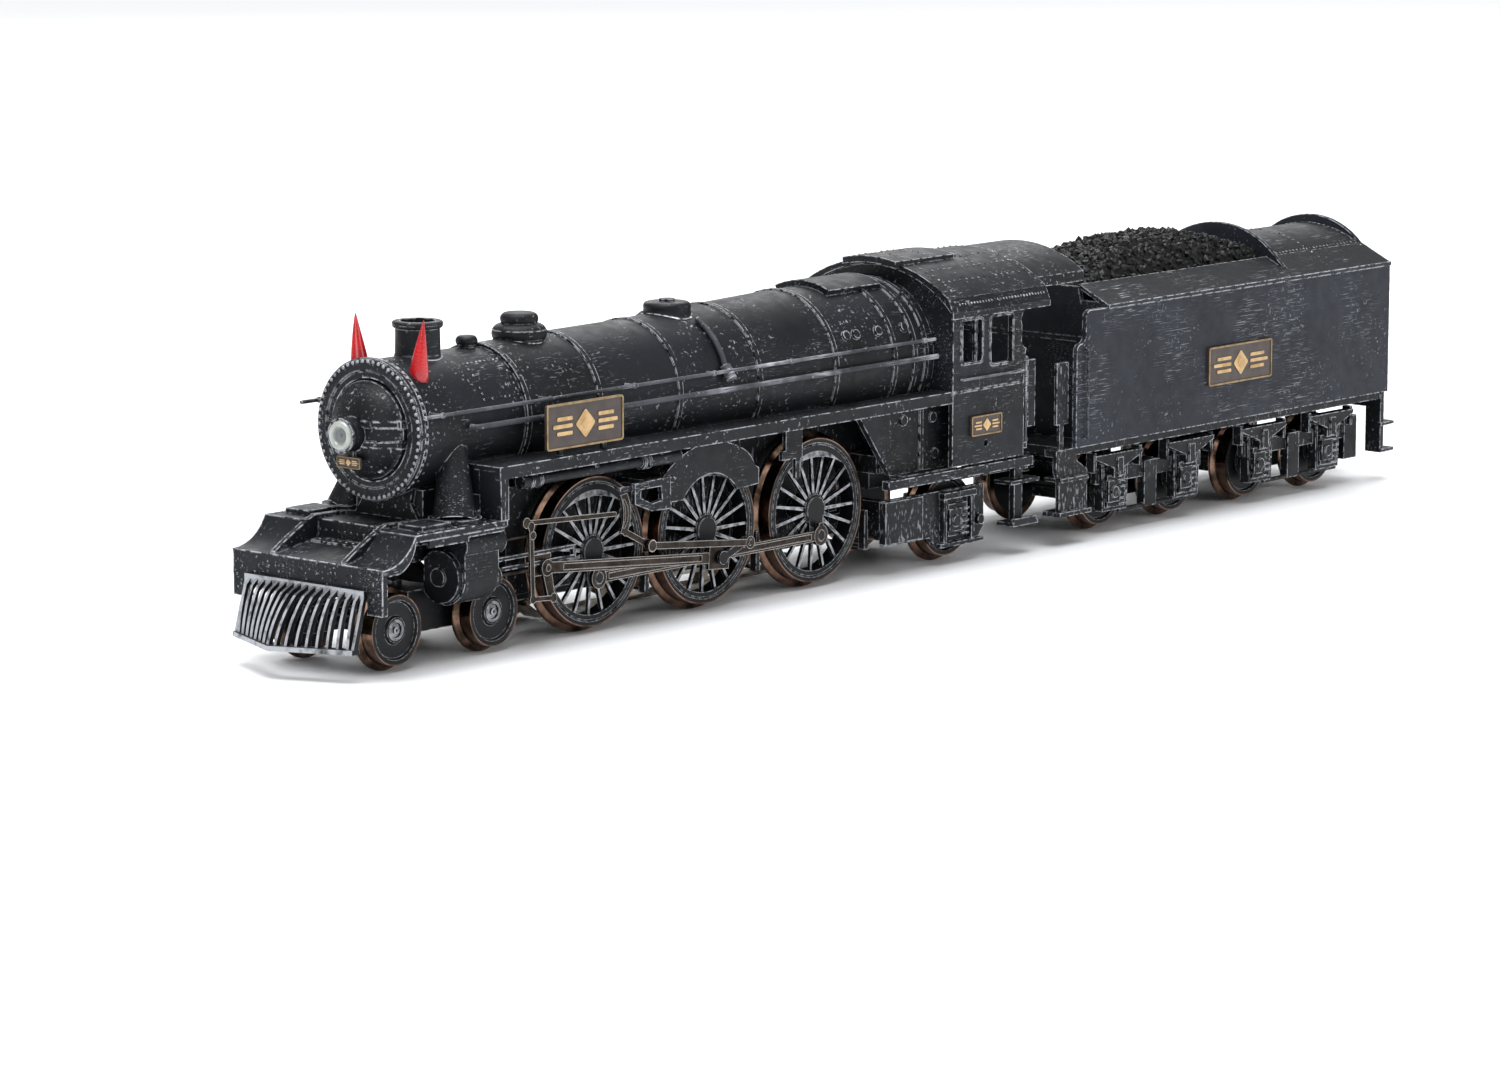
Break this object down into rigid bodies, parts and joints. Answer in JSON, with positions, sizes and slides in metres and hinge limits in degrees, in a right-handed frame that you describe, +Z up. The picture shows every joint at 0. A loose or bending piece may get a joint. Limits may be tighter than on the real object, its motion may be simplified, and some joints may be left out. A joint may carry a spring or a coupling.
{
  "type": "model train",
  "caption": "Model steam locomotive with bogie tender: spoked driving wheels, side rods, cowcatcher, two horns, coal load, drawbar and swivelling bogies.",
  "frame": {"origin": "bottom centre of the bounding box: on the centreline, halfway along the train, at the level on which the wheel flanges stand", "axes": "+X forward, towards the cowcatcher; +Y to the left of the locomotive; +Z up"},
  "size_m": [0.2568, 0.0326, 0.0476],
  "materials": {
    "die_cast_body": "matt blue-black paint over die-cast zinc, edges dry-brushed in silver",
    "blackened_running_gear": "blackened metal with turned nickel-silver tyres",
    "dark_steel_rods": "darkened steel rods and valve gear",
    "red_plastic": "glossy red moulded horns",
    "clear_lens": "clear lamp lens",
    "brass_plate": "etched brass plates on a dark ground",
    "coal": "loose granulated coal",
    "motor_steel": "plain steel motor can",
    "gear_brass": "machined brass gear",
    "gear_plastic": "moulded acetal gear",
    "board_laminate": "green glass-fibre circuit board",
    "screw_steel": "steel screws",
    "shoe_steel": "sprung nickel-silver contact shoe"
  },
  "bodies": {
    "locomotive": {"boiler_shell": "die_cast_body", "smokebox_front": "die_cast_body", "smokebox_door": "die_cast_body", "headlamp_housing": "die_cast_body", "headlamp_lens": "clear_lens", "chimney": "die_cast_body", "boiler_domes": "die_cast_body", "horns": "red_plastic", "boiler_rails_and_pipes": "die_cast_body", "front_footplate": "die_cast_body", "cowcatcher": "die_cast_body", "running_boards": "die_cast_body", "firebox_sides": "die_cast_body", "cab": "die_cast_body", "cab_roof": "die_cast_body", "cylinder_block": "die_cast_body", "motion_brackets": "die_cast_body", "chassis_frame": "die_cast_body", "keeper_plate": "die_cast_body", "motor": "motor_steel", "circuit_board": "board_laminate", "chassis_screws": "screw_steel", "loco_nameplates": "brass_plate"},
    "pickup_shoe": {"pickup_shoe": "shoe_steel"},
    "middle_drivers": {"driver_wheelset_middle": "blackened_running_gear", "drive_gear": "gear_brass"},
    "front_drivers": {"driver_wheelset_front": "blackened_running_gear"},
    "rear_drivers": {"driver_wheelset_rear": "blackened_running_gear"},
    "reduction_gear": {"reduction_gear": "gear_plastic"},
    "worm_shaft": {"worm_shaft": "gear_brass"},
    "pilot_bogie": {"pilot_bogie_frame": "die_cast_body"},
    "pilot_wheels_front": {"pilot_wheelset_front": "blackened_running_gear"},
    "pilot_wheels_rear": {"pilot_wheelset_rear": "blackened_running_gear"},
    "trailing_truck": {"trailing_truck_frame": "die_cast_body"},
    "trailing_wheels": {"trailing_wheelset": "blackened_running_gear"},
    "drawbar": {"drawbar": "die_cast_body"},
    "tender": {"tender_body": "die_cast_body", "tender_floor": "die_cast_body", "coal_load": "coal", "tender_nameplates": "brass_plate"},
    "rear_coupler": {"rear_coupler": "die_cast_body"},
    "coupling_rod_left": {"coupling_rod_left": "dark_steel_rods"},
    "main_rod_left": {"main_rod_left": "dark_steel_rods"},
    "eccentric_rod_left": {"eccentric_rod_left": "dark_steel_rods"},
    "crosshead_left": {"crosshead_left": "dark_steel_rods"},
    "expansion_link_left": {"expansion_link_left": "dark_steel_rods"},
    "valve_rods_left": {"valve_rods_left": "dark_steel_rods"},
    "coupling_rod_right": {"coupling_rod_right": "dark_steel_rods"},
    "main_rod_right": {"main_rod_right": "dark_steel_rods"},
    "eccentric_rod_right": {"eccentric_rod_right": "dark_steel_rods"},
    "crosshead_right": {"crosshead_right": "dark_steel_rods"},
    "expansion_link_right": {"expansion_link_right": "dark_steel_rods"},
    "valve_rods_right": {"valve_rods_right": "dark_steel_rods"},
    "tender_bogie_front": {"tender_bogie_front": "die_cast_body"},
    "tender_wheels_1": {"tender_wheelset_1": "blackened_running_gear"},
    "tender_wheels_2": {"tender_wheelset_2": "blackened_running_gear"},
    "tender_bogie_rear": {"tender_bogie_rear": "die_cast_body"},
    "tender_wheels_3": {"tender_wheelset_3": "blackened_running_gear"},
    "tender_wheels_4": {"tender_wheelset_4": "blackened_running_gear"}
  },
  "joints": [
    {"name": "middle_driver_spin", "type": "hinge", "parent": "locomotive", "child": "middle_drivers", "pos_m": [0.0476, 0, 0.01183], "axis": [0, 1, 0], "continuous": true},
    {"name": "front_driver_spin", "type": "hinge", "parent": "locomotive", "child": "front_drivers", "pos_m": [0.0725, 0, 0.01183], "axis": [0, 1, 0], "continuous": true},
    {"name": "rear_driver_spin", "type": "hinge", "parent": "locomotive", "child": "rear_drivers", "pos_m": [0.0227, 0, 0.01183], "axis": [0, 1, 0], "continuous": true},
    {"name": "reduction_gear_spin", "type": "hinge", "parent": "locomotive", "child": "reduction_gear", "pos_m": [0.0476, 0, 0.02083], "axis": [0, 1, 0], "continuous": true},
    {"name": "worm_spin", "type": "hinge", "parent": "locomotive", "child": "worm_shaft", "pos_m": [0.0476, 0, 0.0274], "axis": [1, 0, 0], "continuous": true},
    {"name": "coupling_rod_left_turn", "type": "hinge", "parent": "middle_drivers", "child": "coupling_rod_left", "pos_m": [0.0476, 0.0109, 0.00813], "axis": [0, 1, 0], "continuous": true},
    {"name": "main_rod_left_turn", "type": "hinge", "parent": "middle_drivers", "child": "main_rod_left", "pos_m": [0.0476, 0.0125, 0.00813], "axis": [0, 1, 0], "continuous": true},
    {"name": "eccentric_rod_left_turn", "type": "hinge", "parent": "middle_drivers", "child": "eccentric_rod_left", "pos_m": [0.0427, 0.0141, 0.0099], "axis": [0, 1, 0], "continuous": true},
    {"name": "crosshead_left_slide", "type": "slide", "parent": "locomotive", "child": "crosshead_left", "axis": [1, 0, 0], "range_m": [-0.00356, 0.00384]},
    {"name": "expansion_link_left_swing", "type": "hinge", "parent": "locomotive", "child": "expansion_link_left", "pos_m": [0.0692, 0.0134, 0.0174], "axis": [0, 1, 0], "range_deg": [-20, 20]},
    {"name": "valve_rods_left_slide", "type": "slide", "parent": "locomotive", "child": "valve_rods_left", "axis": [1, 0, 0], "range_m": [-0.0006, 0.0006]},
    {"name": "coupling_rod_right_turn", "type": "hinge", "parent": "middle_drivers", "child": "coupling_rod_right", "pos_m": [0.0439, -0.0109, 0.01183], "axis": [0, 1, 0], "continuous": true},
    {"name": "main_rod_right_turn", "type": "hinge", "parent": "middle_drivers", "child": "main_rod_right", "pos_m": [0.0439, -0.0125, 0.01183], "axis": [0, 1, 0], "continuous": true},
    {"name": "eccentric_rod_right_turn", "type": "hinge", "parent": "middle_drivers", "child": "eccentric_rod_right", "pos_m": [0.04567, -0.0141, 0.01673], "axis": [0, 1, 0], "continuous": true},
    {"name": "crosshead_right_slide", "type": "slide", "parent": "locomotive", "child": "crosshead_right", "axis": [1, 0, 0], "range_m": [0, 0.0074]},
    {"name": "expansion_link_right_swing", "type": "hinge", "parent": "locomotive", "child": "expansion_link_right", "pos_m": [0.0692, -0.0134, 0.0174], "axis": [0, 1, 0], "range_deg": [-10, 20]},
    {"name": "valve_rods_right_slide", "type": "slide", "parent": "locomotive", "child": "valve_rods_right", "axis": [1, 0, 0], "range_m": [-0.0006, 0.0006]},
    {"name": "pickup_shoe_spring", "type": "slide", "parent": "locomotive", "child": "pickup_shoe", "axis": [0, 0, 1], "range_m": [-0.0004, 0.0008], "stiffness_N_per_m": 150},
    {"name": "pilot_bogie_swivel", "type": "hinge", "parent": "locomotive", "child": "pilot_bogie", "pos_m": [0.10325, 0, 0.009], "axis": [0, 0, 1], "range_deg": [-4, 4]},
    {"name": "pilot_front_spin", "type": "hinge", "parent": "pilot_bogie", "child": "pilot_wheels_front", "pos_m": [0.1131, 0, 0.00594], "axis": [0, 1, 0], "continuous": true},
    {"name": "pilot_rear_spin", "type": "hinge", "parent": "pilot_bogie", "child": "pilot_wheels_rear", "pos_m": [0.0934, 0, 0.00594], "axis": [0, 1, 0], "continuous": true},
    {"name": "trailing_truck_swivel", "type": "hinge", "parent": "locomotive", "child": "trailing_truck", "pos_m": [0.0116, 0, 0.008], "axis": [0, 0, 1], "range_deg": [-4, 4]},
    {"name": "trailing_spin", "type": "hinge", "parent": "trailing_truck", "child": "trailing_wheels", "pos_m": [-0.0089, 0, 0.0073], "axis": [0, 1, 0], "continuous": true},
    {"name": "drawbar_swing", "type": "hinge", "parent": "locomotive", "child": "drawbar", "pos_m": [-0.0144, 0, 0.0107], "axis": [0, 0, 1], "range_deg": [-6, 6]},
    {"name": "tender_swing", "type": "hinge", "parent": "drawbar", "child": "tender", "pos_m": [-0.0404, 0, 0.0107], "axis": [0, 0, 1], "range_deg": [-6, 6]},
    {"name": "rear_coupler_swing", "type": "hinge", "parent": "tender", "child": "rear_coupler", "pos_m": [-0.1149, 0, 0.008], "axis": [0, 0, 1], "range_deg": [-10, 10]},
    {"name": "tender_bogie_front_swivel", "type": "hinge", "parent": "tender", "child": "tender_bogie_front", "pos_m": [-0.05805, 0, 0.01], "axis": [0, 0, 1], "range_deg": [-6, 6]},
    {"name": "tender_wheels_1_spin", "type": "hinge", "parent": "tender_bogie_front", "child": "tender_wheels_1", "pos_m": [-0.0484, 0, 0.0068], "axis": [0, 1, 0], "continuous": true},
    {"name": "tender_wheels_2_spin", "type": "hinge", "parent": "tender_bogie_front", "child": "tender_wheels_2", "pos_m": [-0.0677, 0, 0.0068], "axis": [0, 1, 0], "continuous": true},
    {"name": "tender_bogie_rear_swivel", "type": "hinge", "parent": "tender", "child": "tender_bogie_rear", "pos_m": [-0.09775, 0, 0.01], "axis": [0, 0, 1], "range_deg": [-6, 6]},
    {"name": "tender_wheels_3_spin", "type": "hinge", "parent": "tender_bogie_rear", "child": "tender_wheels_3", "pos_m": [-0.0881, 0, 0.0068], "axis": [0, 1, 0], "continuous": true},
    {"name": "tender_wheels_4_spin", "type": "hinge", "parent": "tender_bogie_rear", "child": "tender_wheels_4", "pos_m": [-0.1074, 0, 0.0068], "axis": [0, 1, 0], "continuous": true}
  ],
  "couplings": [
    {"joint": "front_driver_spin", "follows": "middle_driver_spin", "ratio": 1},
    {"joint": "rear_driver_spin", "follows": "middle_driver_spin", "ratio": 1},
    {"joint": "reduction_gear_spin", "follows": "middle_driver_spin", "ratio": -1.25},
    {"joint": "worm_spin", "follows": "middle_driver_spin", "ratio": 25},
    {"joint": "coupling_rod_left_turn", "follows": "middle_driver_spin", "ratio": -1},
    {"joint": "main_rod_left_turn", "follows": "middle_driver_spin", "ratio": -1},
    {"joint": "eccentric_rod_left_turn", "follows": "middle_driver_spin", "ratio": -1},
    {"joint": "coupling_rod_right_turn", "follows": "middle_driver_spin", "ratio": -1},
    {"joint": "main_rod_right_turn", "follows": "middle_driver_spin", "ratio": -1},
    {"joint": "eccentric_rod_right_turn", "follows": "middle_driver_spin", "ratio": -1}
  ]
}
